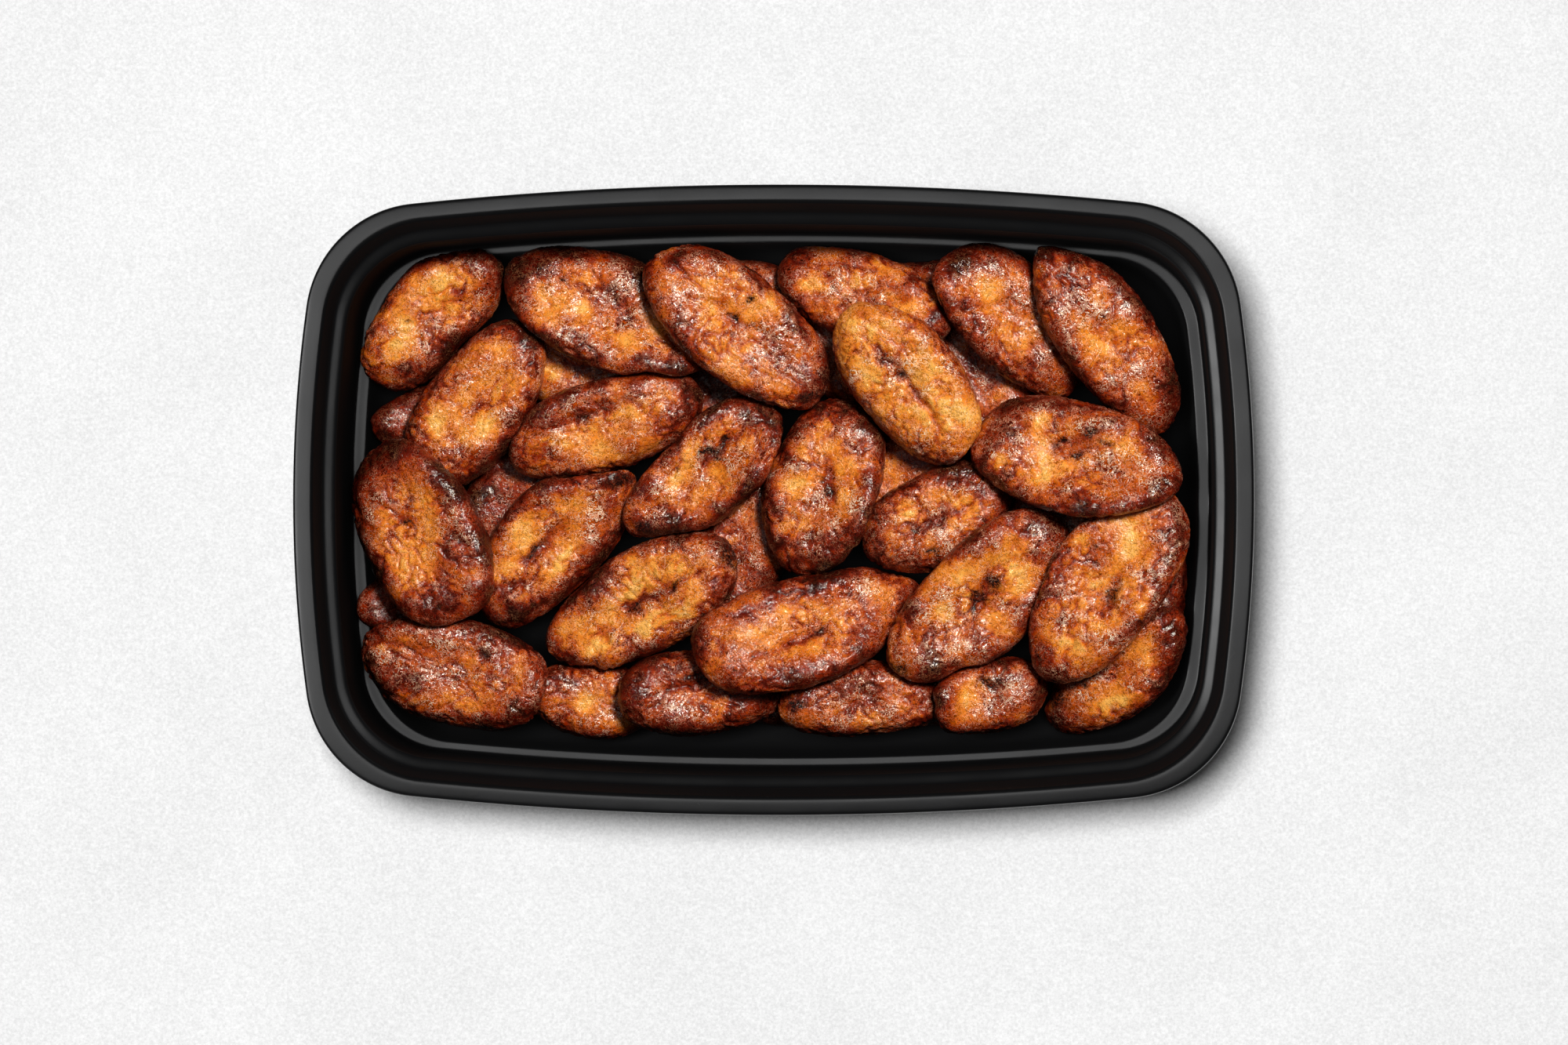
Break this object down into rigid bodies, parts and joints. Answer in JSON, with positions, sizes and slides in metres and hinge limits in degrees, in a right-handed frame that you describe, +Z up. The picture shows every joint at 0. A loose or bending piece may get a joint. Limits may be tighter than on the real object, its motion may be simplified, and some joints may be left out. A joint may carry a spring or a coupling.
{
  "type": "baked sweet plantain in a meal tray",
  "caption": "Thick caramelised slices of baked sweet plantain heaped in a black rectangular meal tray with a flat rim, stepped walls and no lid.",
  "frame": {"origin": "centre of the tray's underside, on the surface it stands on", "axes": "+X along the tray's long side, +Y along its short side, +Z up"},
  "size_m": [0.226, 0.148, 0.04],
  "materials": {
    "tray_plastic": "semi-gloss black moulded polypropylene",
    "plantain_amber": "caramelised plantain, amber centre and brown edge, glossy wrinkled skin",
    "plantain_pale": "caramelised plantain, lighter golden centre, glossy wrinkled skin",
    "plantain_dark": "caramelised plantain, deep mahogany brown, glossy wrinkled skin"
  },
  "bodies": {
    "root": {"tray": "tray_plastic", "under_01": "plantain_dark", "under_02": "plantain_amber", "under_03": "plantain_dark", "under_04": "plantain_dark", "under_05": "plantain_amber", "under_06": "plantain_amber", "under_07": "plantain_amber", "under_08": "plantain_dark", "under_09": "plantain_amber", "under_10": "plantain_amber", "under_11": "plantain_amber", "under_12": "plantain_amber", "under_13": "plantain_amber", "under_14": "plantain_amber", "under_15": "plantain_amber", "under_16": "plantain_amber", "edge_01": "plantain_amber", "edge_02": "plantain_amber", "edge_03": "plantain_amber", "edge_04": "plantain_amber", "edge_05": "plantain_amber", "slice_01": "plantain_amber", "slice_02": "plantain_dark", "slice_03": "plantain_amber", "slice_04": "plantain_amber", "slice_05": "plantain_amber", "slice_06": "plantain_pale", "slice_07": "plantain_pale", "slice_08": "plantain_amber", "slice_09": "plantain_amber", "slice_10": "plantain_amber", "slice_11": "plantain_pale", "slice_12": "plantain_amber", "slice_13": "plantain_dark", "slice_14": "plantain_amber", "slice_15": "plantain_pale", "slice_16": "plantain_amber", "slice_17": "plantain_amber", "slice_18": "plantain_amber", "slice_19": "plantain_amber", "slice_20": "plantain_pale"}
  },
  "joints": []
}
